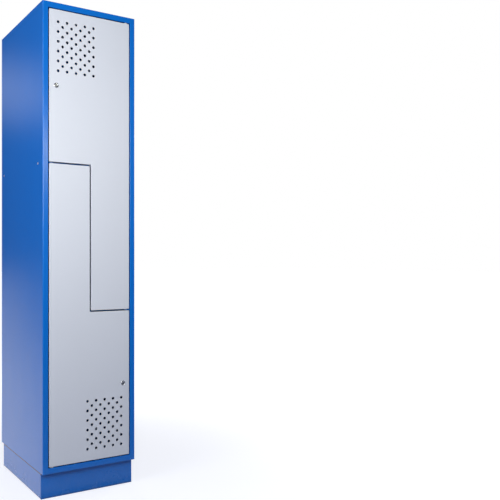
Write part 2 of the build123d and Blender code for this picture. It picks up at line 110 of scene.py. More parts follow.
# Edges: a patchy mask where the surface turns, found by comparing its normal with a rounded one
flat_cosine = 0.995
edge_cosine = 0.75
patch_size = 0.012
sharp_edges, given, wanted = effect(
    "sharp_edges",
    {"Reach": 0.0012, "Place": None},
    {"Mask": "NodeSocketFloat", "Normal": "NodeSocketVector"},
)
rounded = put(sharp_edges, "ShaderNodeBevel", {"Radius": given["Reach"]}, samples=6).outputs["Normal"]
true_normal = put(sharp_edges, "ShaderNodeNewGeometry").outputs["Normal"]
facing = put(sharp_edges, "ShaderNodeVectorMath", {0: rounded, 1: true_normal}, operation="DOT_PRODUCT")
turned_away = ramp(sharp_edges, facing.outputs["Value"], flat_cosine, edge_cosine)
patchy = ramp(sharp_edges, grain(sharp_edges, given["Place"], patch_size, detail=4.0), -0.1, 0.15)
sharp_edges.links.new(maths(sharp_edges, "MULTIPLY", turned_away, patchy), wanted["Mask"])
sharp_edges.links.new(rounded, wanted["Normal"])

# Painted shade: colour darkened in gaps and folds, where a spot sees little of what is near it, and in
# a shut compartment, where a spot sees next to nothing of the room
full_shade_share = 0.3
room_reach = 0.7
dim_share = 0.08
dark_share = 0.02
painted_crevice_shade, given, wanted = effect(
    "painted_crevice_shade", {"Reach": 0.014, "Open": 0.5}, {"Mask": "NodeSocketFloat", "Shut in": "NodeSocketFloat"}
)
near_view = put(painted_crevice_shade, "ShaderNodeAmbientOcclusion", {"Distance": given["Reach"]}, samples=6)
shut = maths(painted_crevice_shade, "MULTIPLY", given["Open"], full_shade_share)
painted_crevice_shade.links.new(ramp(painted_crevice_shade, near_view.outputs["AO"], given["Open"], shut), wanted["Mask"])
far_view = put(painted_crevice_shade, "ShaderNodeAmbientOcclusion", {"Distance": room_reach}, samples=24)
painted_crevice_shade.links.new(ramp(painted_crevice_shade, far_view.outputs["AO"], dim_share, dark_share), wanted["Shut in"])

# Handling: soft upright smears and dulled patches, as a change of roughness
smear_size = 0.09
smear_stretch = (1.0, 1.0, 0.35)
smears, given, wanted = effect("smears", {"Place": None, "Amount": 0.1}, {"Change": "NodeSocketFloat"})
stretched = put(smears, "ShaderNodeMapping", {"Vector": given["Place"], "Scale": smear_stretch})
cloudy = grain(smears, stretched.outputs[0], smear_size, detail=5.0)
smears.links.new(maths(smears, "MULTIPLY", cloudy, given["Amount"]), wanted["Change"])

# Dust: a thin pale veil on what faces up, and low down near the floor
kicked_height = 0.1
dust_patch = 0.03
dust, given, wanted = effect(
    "dust", {"Place": None, "Ledges": 0.12, "Low": 0.14}, {"Mask": "NodeSocketFloat"}
)
up = put(dust, "ShaderNodeSeparateXYZ", {0: put(dust, "ShaderNodeNewGeometry").outputs["Normal"]})
height = put(dust, "ShaderNodeSeparateXYZ", {0: given["Place"]}).outputs["Z"]
lying = maths(dust, "MULTIPLY", ramp(dust, up.outputs["Z"], 0.5, 1.0), given["Ledges"])
low_down = ramp(dust, height, kicked_height, 0.0, interpolation="SMOOTHSTEP")
kicked = maths(dust, "MULTIPLY", low_down, given["Low"])
spread = ramp(dust, grain(dust, given["Place"], dust_patch, detail=6.0), -0.25, 0.2)
dust.links.new(maths(dust, "MULTIPLY", maths(dust, "ADD", lying, kicked), spread), wanted["Mask"])


def use(tree, group, **values):
    """Places a shared effect in a material and returns its outputs."""
    return put(tree, "ShaderNodeGroup", values, node_tree=group).outputs


def finish_of(name):
    """Starts a material and returns it with its tree, its shader and the piece's own coordinates."""
    material = bpy.data.materials.new(name)
    material.use_nodes = True
    tree = material.node_tree
    shader = tree.nodes["Principled BSDF"]
    place = put(tree, "ShaderNodeTexCoord").outputs["Object"]
    return material, tree, shader, place


def colour_mix(tree, share, first, second):
    """Mix of two colours by a mask. Inputs 6 and 7 of the mix node are its colours."""
    return put(tree, "ShaderNodeMix", {0: share, 6: first, 7: second}, data_type="RGBA").outputs[2]


def shade(colour, share):
    """Darker or lighter version of a colour."""
    return [channel * share for channel in colour[:3]] + [1.0]


def bumpy(tree, shader, height, normal):
    """Gives a shader a relief in metres on top of a rounded normal."""
    bump = put(tree, "ShaderNodeBump", {"Height": height, "Distance": 1.0, "Normal": normal})
    tree.links.new(bump.outputs[0], shader.inputs["Normal"])


shade_tint = [0.003, 0.009, 0.03, 1.0]
coat_edge = 0.0009
drift_size = 0.35
shade_line_start = 0.0075
shade_line_full = 0.0035


def powder_coat(name, colour, worn_colour, dust_colour, roughness, peel, waves, shade_open_share, shade_line_height=None):
    """Baked powder coat on thin sheet: peel, waves, rubbed edges, painted seam shade, smears, a little dust.

    If a height is given, a line of painted shade runs just under it, where an edge above overhangs."""
    material, tree, shader, place = finish_of(name)
    edges = use(tree, sharp_edges, Place=place, Reach=coat_edge)
    drift = ramp(tree, grain(tree, place, drift_size, detail=3.0), -0.3, 0.3, 0.0, 0.12)
    base = colour_mix(tree, drift, colour, shade(colour, 0.85))
    rubbed = colour_mix(tree, maths(tree, "MULTIPLY", edges["Mask"], 0.5), base, worn_colour)
    veil = use(tree, dust, Place=place)["Mask"]
    dusty = colour_mix(tree, veil, rubbed, dust_colour)
    # Painted shade: gaps, folds and shut compartments are darkened towards near black
    dark = use(tree, painted_crevice_shade, Open=shade_open_share)
    shade_mask = maths(tree, "MAXIMUM", dark["Mask"], dark["Shut in"])
    # A line of painted shade just under the given height, where the edge above overhangs
    if shade_line_height:
        level = put(tree, "ShaderNodeSeparateXYZ", {0: place}).outputs["Z"]
        line = ramp(tree, level, shade_line_height - shade_line_start, shade_line_height - shade_line_full)
        shade_mask = maths(tree, "MAXIMUM", shade_mask, line)
    shaded = colour_mix(tree, maths(tree, "MULTIPLY", shade_mask, 0.9), dusty, shade_tint)
    tree.links.new(shaded, shader.inputs["Base Color"])
    dulled = maths(tree, "ADD", use(tree, smears, Place=place)["Change"], roughness)
    matt_dust = maths(tree, "MULTIPLY", veil, 0.4)
    tree.links.new(maths(tree, "ADD", dulled, matt_dust), shader.inputs["Roughness"])
    bumps = use(tree, orange_peel, Place=place, Broad=peel)["Height"]
    bends = use(tree, sheet_waves, Place=place, Depth=waves)["Height"]
    bumpy(tree, shader, maths(tree, "ADD", bumps, bends), edges["Normal"])
    shader.inputs["IOR"].default_value = 1.5
    return material


def srgb(*levels):
    """Colour as a paint card gives it, 0 to 255, in the linear values that a shader takes."""
    shares = [level / 255 for level in levels]
    return [((share + 0.055) / 1.055) ** 2.4 if share > 0.04 else share / 12.92 for share in shares] + [1.0]


def dress(material, *names):
    """Gives CAD nodes a finish."""
    for name in names:
        for place in nodes[name].material_slots:
            place.material = material


blue = srgb(4, 109, 205)
rubbed_blue = srgb(70, 140, 220)
blue_dust = srgb(110, 130, 160)
blue_look = {"roughness": 0.24, "peel": 0.0004, "waves": 0.0004}
# The plinth's coat gets a line of painted shade just under its top, where the carcass overhangs it
plinth_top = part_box("plinth_front")[1].z
plinth_coat = powder_coat(
    "plinth_coat", blue, rubbed_blue, blue_dust, shade_open_share=0.85, shade_line_height=plinth_top, **blue_look
)
dress(plinth_coat, "plinth_front", "plinth_back", "plinth_left", "plinth_right")


# Plinth bolts and nuts: zinc plated hexagon bolts down through the floor and the plinth's top flanges,
# with a chamfered head on a washer face and a rolled thread, and chamfered nuts under the flanges.
def spun(solid, rings, place, sides=48, closed=False):
    """Adds a turned shape from (radius, height) rings, where a radius may be a function of the angle."""
    rows = []
    for radius, height in rings:
        row = []
        for step in range(sides if radius else 1):
            angle = math.tau * step / sides
            reach = radius(angle) if callable(radius) else radius
            point = Vector((reach * math.cos(angle), reach * math.sin(angle), height))
            row.append(solid.verts.new(place @ point))
        rows.append(row)
    bands = list(zip(rows, rows[1:]))
    if closed:
        bands.append((rows[-1], rows[0]))
    for low, high in bands:
        for step in range(sides):
            after = (step + 1) % sides
            corners = [low[step % len(low)], low[after % len(low)]]
            corners += [high[after % len(high)], high[step % len(high)]]
            solid.faces.new(list(dict.fromkeys(corners)))
    return rows


def across_corners(flats):
    """Radius to the corners of a hexagon, from its size across flats."""
    return flats / 2 / math.cos(math.pi / 6)


def hexagon(flats, limit=1.0):
    """Radius of a hexagon at an angle, no larger than a limit that rounds its corners off."""
    return lambda angle: min(limit, flats / 2 / math.cos(angle % (math.pi / 3) - math.pi / 6))


def thread_rings(radius, pitch, start, end):
    """Rings of a right-handed vee thread from one height to another, upwards or downwards."""
    depth_share = 0.55
    rings_per_turn = 6
    count = round(abs(end - start) / pitch * rings_per_turn)

    def groove(height):
        return lambda angle: radius - depth_share * pitch * abs(
            2 * ((height / pitch - angle / math.tau) % 1.0) - 1
        )

    heights = [start + (end - start) * step / count for step in range(count + 1)]
    return [(groove(height), height) for height in heights]


def plated(name, colour, roughness, streak):
    """Plated or polished metal: cloudy surface, fine rubbing marks, tiny pits, soft edges, painted crevice
    shade.
    """
    edge = 0.0003
    cloud_size = 0.006
    rub_size = 0.0009
    pit_size = 0.0007
    pit_depth = 0.00001
    shade_reach = 0.003
    material, tree, shader, place = finish_of(name)
    edges = use(tree, sharp_edges, Place=place, Reach=edge)
    cloud = ramp(tree, grain(tree, place, cloud_size, detail=4.0), -0.25, 0.25)
    # Painted shade: the colour darkens in crevices close round the piece
    shade_mask = maths(tree, "MULTIPLY", use(tree, painted_crevice_shade, Reach=shade_reach)["Mask"], 0.6)
    plating = colour_mix(tree, cloud, shade(colour, 0.86), colour)
    tree.links.new(colour_mix(tree, shade_mask, plating, shade(colour, 0.1)), shader.inputs["Base Color"])
    shader.inputs["Metallic"].default_value = 1.0
    rubbing = maths(tree, "MULTIPLY", grain(tree, place, rub_size, detail=3.0), streak)
    tree.links.new(maths(tree, "ADD", rubbing, roughness), shader.inputs["Roughness"])
    pits = maths(tree, "MULTIPLY", grain(tree, place, pit_size, detail=3.0), pit_depth)
    bumpy(tree, shader, pits, edges["Normal"])
    return material


def finished(name, solid, material, slot, body, *replaced, crease=32):
    """Ends a piece: soft curves and crisp edges, riding on its body in the place of its CAD nodes."""
    bmesh.ops.recalc_face_normals(solid, faces=solid.faces)
    mesh = bpy.data.meshes.new(name)
    solid.to_mesh(mesh)
    solid.free()
    mesh.shade_smooth()
    mesh.set_sharp_from_angle(angle=math.radians(crease))
    mesh.materials.append(material)
    piece = bpy.data.objects.new(name, mesh)
    bpy.context.scene.collection.objects.link(piece)
    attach(piece, body)
    if replaced:
        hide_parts(*replaced)
    return piece


zinc = plated("zinc", srgb(196, 200, 208), roughness=0.3, streak=0.25)
bolt_radius = 0.003
bolt_flats = 0.010
bolt_head = 0.004
bolt_pitch = 0.001
bolt_chamfer = 0.0006
bolt_run_out = 0.0002
head_chamfer = 0.0009
head_dimple = 0.0002
washer_face = 0.0003
nut_play = 0.00005
nut_chamfer = 0.0006
nut_mouth = 0.0005
bolts_low, bolts_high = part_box("plinth_bolts")
nuts_low, nuts_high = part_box("plinth_nuts")
floor_top = bolts_high.z - bolt_head
bolt_corner = across_corners(bolt_flats)
washer_radius = 0.48 * bolt_flats
thread_top = nuts_low.z + bolt_pitch
nut_bore = bolt_radius + nut_play
bolt_places = [
    (x, y)
    for x in (bolts_low.x + bolt_corner, bolts_high.x - bolt_corner)
    for y in (bolts_low.y + bolt_flats / 2, bolts_high.y - bolt_flats / 2)
]
bolt_tip = [(0, bolts_low.z), (bolt_radius - bolt_chamfer, bolts_low.z)]
bolt_thread = thread_rings(bolt_radius, bolt_pitch, bolts_low.z + bolt_chamfer, thread_top)
bolt_top = [
    (bolt_radius, thread_top + bolt_run_out),
    (bolt_radius, floor_top),
    (washer_radius, floor_top),
    (washer_radius, floor_top + washer_face),
    (hexagon(bolt_flats), floor_top + washer_face),
    (hexagon(bolt_flats), bolts_high.z - head_chamfer),
    (hexagon(bolt_flats, 0.96 * bolt_corner), bolts_high.z - head_chamfer * 2 / 3),
    (hexagon(bolt_flats, 0.91 * bolt_corner), bolts_high.z - head_chamfer / 3),
    (0.82 * bolt_corner, bolts_high.z),
    (bolt_radius, bolts_high.z),
    (0.9 * bolt_radius, bolts_high.z - head_dimple),
    (0, bolts_high.z - head_dimple),
]
nut_rings = [
    (nut_bore, nuts_high.z),
    (hexagon(bolt_flats, 0.93 * bolt_corner), nuts_high.z),
    (hexagon(bolt_flats), nuts_high.z - nut_chamfer),
    (hexagon(bolt_flats), nuts_low.z + nut_chamfer),
    (hexagon(bolt_flats, 0.93 * bolt_corner), nuts_low.z + nut_chamfer / 3),
    (0.86 * bolt_corner, nuts_low.z),
    (nut_bore + nut_mouth, nuts_low.z),
    (nut_bore, nuts_low.z + 0.8 * nut_mouth),
]
bolts = bmesh.new()
nuts = bmesh.new()
for x, y in bolt_places:
    place = Matrix.Translation((x, y, 0))
    spun(bolts, bolt_tip + bolt_thread + bolt_top, place)
    spun(nuts, nut_rings, place, closed=True)
finished("hexagon_bolts", bolts, zinc, "zinc_plated_steel", "root", "plinth_bolts")
finished("hexagon_nuts", nuts, zinc, "zinc_plated_steel", "root", "plinth_nuts")


# Carcass: side panels folded round into the front stiles, roof and floor folded into header and sill, and
# a flat back. All of it is 1 mm sheet in the plinth's blue coat. The back is spot welded to the shelves'
# rear flanges, and each weld leaves a shallow ring on it.
blue_coat = powder_coat("blue_coat", blue, rubbed_blue, blue_dust, shade_open_share=0.22, **blue_look)
dress(blue_coat, "left_side_panel", "right_side_panel", "roof_panel", "floor_panel", "back_panel")
weld_radius = 0.0034
weld_rim = (0.0030, 0.0025)
weld_button = 0.0021
weld_root = 0.0003
rim_rise = 0.00014
button_rise = 0.00003
weld_count = 3
weld_pitch = 0.075
weld_inset = 0.02
weld_mark = [
    (0, -weld_root),
    (weld_radius, -weld_root),
    (weld_radius, 0),
    (weld_rim[0], rim_rise),
    (weld_rim[1], rim_rise),
    (weld_button, button_rise),
    (0, button_rise),
]
body_low, body_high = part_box("left_side_panel")
shelf_low, shelf_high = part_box("upper_shelf")
shelf_middle = (shelf_low.z + shelf_high.z) / 2
body_middle = (body_low.z + body_high.z) / 2
half_turn = Matrix.Translation((0, 0, 2 * body_middle)) @ Matrix.Rotation(math.pi, 4, "Y")
halves = {"upper": Matrix(), "lower": half_turn}
faces_back = Matrix.Rotation(-math.pi / 2, 4, "X")
back_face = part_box("back_panel")[1].y
weld_marks = bmesh.new()
for half in halves.values():
    for step in range(weld_count):
        x = shelf_high.x - weld_inset - weld_pitch * step
        place = half @ Matrix.Translation((x, back_face, shelf_middle)) @ faces_back
        spun(weld_marks, weld_mark, place, sides=24)
finished("back_weld_marks", weld_marks, blue_coat, "blue_powder_coat", "root")


# Z partition: an upper and a lower shelf tray, the divider between them, and the channel on its front
# edge that the doors close against, spot welded together and coated blue. Each tray is held to its side
# panel by two blind aluminium rivets with the broken pin in the middle of the head.
dress(blue_coat, "upper_shelf", "lower_shelf", "centre_divider", "divider_channel")
aluminium = plated("aluminium", srgb(228, 230, 233), roughness=0.3, streak=0.2)
rivet_head = 0.0045
rivet_shank = 0.0024
rivet_rim = 0.0017
rivet_pin = 0.0013
rivet_break = 0.0010
rivet_nib = 0.0005
rivet_grip = 0.002
rivet_tail = 0.0025
rivet_wall = 0.0003
pin_chamfer = 0.0005
pin_sink = 0.0006
rivets_low, rivets_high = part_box("partition_rivets")
head_height = 0.99 * (body_low.x - rivets_low.x)
tail_end = -rivet_grip - rivet_tail
faces_left = Matrix.Rotation(-math.pi / 2, 4, "Y")
rivet_dome = [
    (rivet_rim + (rivet_head - rivet_rim) * math.sin(bend), head_height * math.cos(bend))
    for bend in [math.pi / 2 * step / 8 for step in range(9)]
]
# Radii of the tail that the pin has drawn out wide, with their depths behind the sheet
rivet_bulge = [(0.0034, 0.0003), (0.0035, 0.0009), (0.0030, 0.0017)]
rivet_rings = [
    (rivet_pin, head_height - 0.4 * pin_chamfer),
    *rivet_dome,
    (rivet_shank, 0),
    (rivet_shank, -rivet_grip),
    *[(radius, -rivet_grip - depth) for radius, depth in rivet_bulge],
    (rivet_shank, tail_end + rivet_wall),
    (rivet_pin, tail_end + rivet_wall),
]
pin_rings = [
    (0, tail_end),
    (rivet_break, tail_end + 0.2 * pin_chamfer),
    (rivet_pin, tail_end + pin_chamfer),
    (rivet_pin, head_height - pin_sink),
    (rivet_break, head_height - pin_sink / 2),
    (rivet_nib, head_height),
    (0, head_height - pin_sink / 6),
]
heads = bmesh.new()
pins = bmesh.new()
for half in halves.values():
    for y in (rivets_low.y + rivet_head, rivets_high.y - rivet_head):
        place = half @ Matrix.Translation((body_low.x, y, rivets_high.z - rivet_head)) @ faces_left
        spun(heads, rivet_rings, place, sides=36, closed=True)
        spun(pins, pin_rings, place, sides=24)
finished("rivet_heads", heads, aluminium, "aluminium_rivet", "root", "partition_rivets")
finished("rivet_pins", pins, aluminium, "aluminium_rivet", "root", "partition_rivets")


# Pivots: pins in header and sill, and a small bracket on a stile at the hinge end of each level parting
# gap, whose pin carries one door. Brackets are 2 mm plate, welded along their root and coated blue.
dress(blue_coat, "upper_hinge_bracket", "lower_hinge_bracket")
dress(zinc, "header_pivot", "sill_pivot", "upper_bracket_pin", "lower_bracket_pin")


def fillet_weld(solid, start, end, first, second, leg, ripples):
    """Adds a rippled quarter-round bead along a corner between two faces, given by their directions."""
    end_share = 0.35
    ripple_share = 0.16
    stations = ripples * 6
    bends = [math.pi / 2 * bend / 6 for bend in range(7)]
    rows = []
    for step in range(stations + 1):
        share = step / stations
        taper = min(1.0, 4 * min(share, 1 - share)) ** 0.5
        ripple = 1 - ripple_share * abs(math.sin(math.pi * share * ripples))
        size = leg * (end_share + (1 - end_share) * taper) * ripple
        corner = start.lerp(end, share)
        bead = [corner + first * size * math.cos(bend) + second * size * math.sin(bend) for bend in bends]
        rows.append([solid.verts.new(point) for point in [corner, *bead]])
    for low, high in zip(rows, rows[1:]):
        for step in range(len(low)):
            after = (step + 1) % len(low)
            solid.faces.new([low[step], low[after], high[after], high[step]])
    solid.faces.new(rows[0])
    solid.faces.new(rows[-1])


bead_leg = 0.0014
bead_inset = 0.001
bead_ripples = 7
plate_low, plate_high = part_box("upper_hinge_bracket")
bead_ends = (plate_low.y + bead_inset, plate_high.y - bead_inset)
beads = bmesh.new()
for half in halves.values():
    turned = half.to_3x3()
    inward = turned @ Vector((-1, 0, 0))
    for face, side in ((plate_low.z, -1), (plate_high.z, 1)):
        start, end = [half @ Vector((plate_high.x, y, face)) for y in bead_ends]
        outward = turned @ Vector((0, 0, side))
        fillet_weld(beads, start, end, inward, outward, bead_leg, bead_ripples)
finished("bracket_welds", beads, blue_coat, "blue_powder_coat", "root")


# Doors: two alike L-shaped pans of 1 mm sheet in light grey powder coat, one the other turned half round,
# each with a hat-shaped stiffener up its leg.
grey = srgb(216, 220, 231)
rubbed_grey = srgb(232, 235, 242)
grey_dust = srgb(176, 174, 170)
grey_coat = powder_coat(
    "grey_coat", grey, rubbed_grey, grey_dust, roughness=0.42, peel=0.00006, waves=0.0003, shade_open_share=0.4
)
dress(grey_coat, "upper_door_panel", "lower_door_panel", "upper_door_stiffener", "lower_door_stiffener")


# Door bushes and buffers: white nylon bushes pressed into the door's ends for the pivots, and three
# rubber buffers on each door's back lip, with a rim and a rounded nose that meets the frame.
def moulded(name, colour, roughness, grain_size, grain_depth):
    """Moulded plastic or rubber with a fine matt grain."""
    edge = 0.0004
    cloud_size = 0.01
    material, tree, shader, place = finish_of(name)
    edges = use(tree, sharp_edges, Place=place, Reach=edge)
    cloud = ramp(tree, grain(tree, place, cloud_size, detail=4.0), -0.25, 0.25)
    tree.links.new(colour_mix(tree, cloud, shade(colour, 0.8), colour), shader.inputs["Base Color"])
    dulled = maths(tree, "ADD", use(tree, smears, Place=place)["Change"], roughness)
    tree.links.new(dulled, shader.inputs["Roughness"])
    skin = maths(tree, "MULTIPLY", grain(tree, place, grain_size, detail=3.0), grain_depth)
    bumpy(tree, shader, skin, edges["Normal"])
    return material


nylon = moulded("nylon", srgb(226, 222, 208), roughness=0.42, grain_size=0.0008, grain_depth=0.00001)
dress(nylon, "upper_door_bushes", "lower_door_bushes")
rubber = moulded("rubber", srgb(32, 32, 33), roughness=0.7, grain_size=0.0006, grain_depth=0.00003)
buffer_radius = 0.0035
buffer_rim = 0.0006
nose_radius = 0.0026
nose_depth = 0.0011
half_parting_gap = 0.003
buffer_end = 0.06
door_low, door_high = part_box("upper_door_panel")
buffers_low, buffers_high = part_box("upper_door_buffers")
buffer_height = buffers_high.y - buffers_low.y
door_step = shelf_middle + half_parting_gap
buffer_places = [
    (buffers_low.x + buffer_radius, door_high.z - buffer_end),
    (buffers_low.x + buffer_radius, door_step + buffer_end),
    (buffers_high.x - buffer_radius, door_low.z + buffer_end),
]
buffer_nose = [
    (nose_radius * math.cos(bend), buffer_height - nose_depth * (1 - math.sin(bend)))
    for bend in [math.pi / 2 * step / 6 for step in range(6)]
]
buffer_rings = [
    (0, 0),
    (buffer_radius, 0),
    (buffer_radius, buffer_rim),
    (0.0033, buffer_rim + 0.0002),
    (0.0028, buffer_rim + 0.0003),
    *buffer_nose,
    (0, buffer_height),
]
for level, half in halves.items():
    buffers = bmesh.new()
    for x, z in buffer_places:
        spun(buffers, buffer_rings, half @ Matrix.Translation((x, buffers_low.y, z)) @ faces_back, sides=32)
    finished(f"{level}_buffers", buffers, rubber, "black_rubber", f"{level}_door", f"{level}_door_buffers")


# Locks: a chromed cylinder housing through the door with a dished rosette, a hexagon nut on its thread,
# and a nickel plug with a warded keyway that turns the cam, which a cross-head screw holds on.
def recess(solid, rim, outline, depth, place, height, taper=1.0):
    """Closes a rim of a turned shape with a flat face that has a pocket of an outline sunk into it."""
    top = [solid.verts.new(place @ Vector((x, y, height))) for x, y in outline]
    low = [solid.verts.new(place @ Vector((x * taper, y * taper, height - depth))) for x, y in outline]
    edges = []
    for loop in (rim, top):
        for first, second in zip(loop, loop[1:] + loop[:1]):
            edges.append(solid.edges.get((first, second)) or solid.edges.new((first, second)))
    facing = place.to_3x3() @ Vector((0, 0, 1))
    bmesh.ops.triangle_fill(solid, use_beauty=True, use_dissolve=False, edges=edges, normal=facing)
    for step in range(len(outline)):
        after = (step + 1) % len(outline)
        solid.faces.new([top[step], top[after], low[after], low[step]])
    solid.faces.new(low)


def square(side):
    """Radius of a square at an angle."""
    return lambda angle: side / 2 / max(abs(math.cos(angle)), abs(math.sin(angle)))


chrome = plated("chrome", srgb(206, 208, 214), roughness=0.24, streak=0.1)
nickel = plated("nickel", srgb(200, 203, 210), roughness=0.34, streak=0.2)
housing_low, housing_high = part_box("upper_lock_housing")
plug_low, plug_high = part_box("upper_lock_plug")
nut_low, nut_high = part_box("upper_lock_nut")
screw_low, screw_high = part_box("upper_cam_screw")
door_face = door_low.y
lock_x = (housing_low.x + housing_high.x) / 2
lock_z = (housing_low.z + housing_high.z) / 2
faces_front = Matrix.Rotation(math.pi / 2, 4, "X")

# Housing: heights are measured outwards from the door's face
plug_play = 0.00005
plug_radius = (plug_high.x - plug_low.x) / 2
bore_radius = plug_radius + plug_play
rosette_radius = (housing_high.x - housing_low.x) / 2
rosette_height = door_face - housing_low.y
rosette_edge = 0.0003
# Radii of the dished rosette, with their depths under its highest ring
rosette_section = [
    (bore_radius, 0.0012),
    (0.0060, 0.0010),
    (0.0071, 0.0003),
    (0.0076, 0.0),
    (0.0082, 0.0),
    (0.0089, 0.0003),
    (0.0095, 0.0009),
    (0.0099, 0.0016),
]
barrel_radius = 0.008
barrel_pitch = 0.001
barrel_chamfer = 0.0009
barrel_land = 0.0008
barrel_end = door_face - housing_high.y
lock_nut_inner = door_face - nut_low.y
lock_nut_outer = door_face - nut_high.y
thread_start = lock_nut_outer - 0.2 * barrel_pitch
housing_rings = [
    *[(radius, rosette_height - depth) for radius, depth in rosette_section],
    (rosette_radius, rosette_edge),
    (rosette_radius, 0),
    (barrel_radius, 0),
    (barrel_radius, lock_nut_inner),
    *thread_rings(barrel_radius, barrel_pitch, thread_start, barrel_end + barrel_land),
    (barrel_radius - barrel_chamfer, barrel_end),
    (bore_radius, barrel_end),
]

# Ring nut: flat against the door's inside, chamfered on its free end
lock_nut_flats = nut_high.z - nut_low.z
lock_nut_corner = across_corners(lock_nut_flats)
lock_nut_chamfer = 0.0009
lock_nut_round = (0.0005, 0.0002)
lock_nut_mouth = 0.0006
lock_nut_rings = [
    (barrel_radius, lock_nut_inner),
    (hexagon(lock_nut_flats), lock_nut_inner),
    (hexagon(lock_nut_flats), lock_nut_outer + lock_nut_chamfer),
    (hexagon(lock_nut_flats, 0.96 * lock_nut_corner), lock_nut_outer + lock_nut_round[0]),
    (hexagon(lock_nut_flats, 0.92 * lock_nut_corner), lock_nut_outer + lock_nut_round[1]),
    (0.86 * lock_nut_corner, lock_nut_outer),
    (barrel_radius + lock_nut_mouth, lock_nut_outer),
    (barrel_radius, lock_nut_outer + lock_nut_mouth),
]

# Plug: a round body with a square tail for the cam, and the keyway in its face
plug_face = door_face - plug_low.y
plug_end = door_face - plug_high.y
plug_tail = 0.002
plug_tail_side = 0.007
plug_chamfer = 0.0003
plug_rim = 0.0007
plug_sink = 0.0001
plug_rings = [
    (0, plug_end),
    (square(plug_tail_side), plug_end),
    (square(plug_tail_side), plug_end + plug_tail),
    (plug_radius, plug_end + plug_tail),
    (plug_radius, plug_face - plug_chamfer),
    (plug_radius - plug_chamfer, plug_face),
    (plug_radius - plug_rim, plug_face),
    (plug_radius - plug_rim - plug_sink, plug_face - plug_sink),
]
slot = 0.0009
ward = 0.0003
slot_end = 0.00375
keyway_depth = 0.012
keyway = [
    (-slot, -slot_end),
    (slot, -slot_end),
    (slot, -0.0012),
    (ward, -0.0008),
    (ward, 0.0004),
    (slot, 0.0008),
    (slot, slot_end),
    (-slot, slot_end),
    (-slot, 0.0022),
    (-ward, 0.0018),
    (-ward, -0.0006),
    (-slot, -0.0010),
]

# Cam screw: a pan head with a cross recess
screw_radius = (screw_high.x - screw_low.x) / 2
screw_height = screw_high.y - screw_low.y
screw_foot = 0.0002
screw_shoulder = 0.0011
screw_round = (0.0006, 0.0002)
cross_depth = 0.0016
arm = 0.0005
reach = 0.0023
cross = [(arm, arm), (arm, reach), (-arm, reach), (-arm, arm), (-reach, arm), (-reach, -arm)]
cross += [(-x, -y) for x, y in cross]
screw_rings = [
    (0, 0),
    (0.93 * screw_radius, 0),
    (screw_radius, screw_foot),
    (screw_radius, screw_height - screw_shoulder),
    (0.96 * screw_radius, screw_height - screw_round[0]),
    (0.86 * screw_radius, screw_height - screw_round[1]),
    (0.72 * screw_radius, screw_height),
]

for level, half in halves.items():
    place = half @ Matrix.Translation((lock_x, door_face, lock_z)) @ faces_front
    door = f"{level}_door"
    lock = f"{level}_lock"
    housing = bmesh.new()
    spun(housing, housing_rings, place, closed=True)
    finished(f"{level}_lock_cylinder", housing, chrome, "chromed_zinc", door, f"{level}_lock_housing")

    nut = bmesh.new()
    spun(nut, lock_nut_rings, place, closed=True)
    finished(f"{level}_lock_ring_nut", nut, zinc, "zinc_plated_steel", door, f"{level}_lock_nut")

    plug = bmesh.new()
    rim = spun(plug, plug_rings, place)[-1]
    recess(plug, rim, keyway, keyway_depth, place, plug_face - plug_sink)
    finished(f"{level}_plug", plug, nickel, "nickel_plug", lock, f"{level}_lock_plug")

    screw = bmesh.new()
    place = half @ Matrix.Translation((lock_x, screw_low.y, lock_z)) @ faces_back
    rim = spun(screw, screw_rings, place)[-1]
    recess(screw, rim, cross, cross_depth, place, screw_height, taper=0.55)
    finished(f"{level}_cross_screw", screw, zinc, "zinc_plated_steel", lock, f"{level}_cam_screw")
dress(zinc, "upper_lock_cam", "lower_lock_cam")


# Clothes rods: chromed tubes across the compartments, in black plastic sockets that are screwed to the
# walls, with two zinc plated coat hooks that slide on each.
dress(chrome, "upper_rod", "lower_rod")
dress(zinc, "upper_hook_left", "upper_hook_right", "lower_hook_left", "lower_hook_right")
black_plastic = moulded(
    "black_plastic", srgb(30, 31, 33), roughness=0.45, grain_size=0.0009, grain_depth=0.00002
)
rod_low, rod_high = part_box("upper_rod")
rod_play = 0.0001
socket_depth = 0.010
base_height = 0.002
base_round = 0.0006
root_fillet = 0.0008
cup_bore = (rod_high.z - rod_low.z) / 2 + rod_play
cup_wall = 0.0025
cup = cup_bore + cup_wall
cup_mouth = 0.0006
cup_draft = 0.0002
cup_lip = 0.0007
screw_ring = 0.0126
small_screw = 0.0019
small_head = 0.0008
small_root = 0.0005
small_cross = [(x * 0.45, y * 0.45) for x, y in cross]
small_cross_depth = 0.0006
small_screw_rings = [
    (0, -small_root),
    (small_screw, -small_root),
    (small_screw, small_head / 2),
    (0.8 * small_screw, small_head),
]
faces_right = Matrix.Rotation(math.pi / 2, 4, "Y")
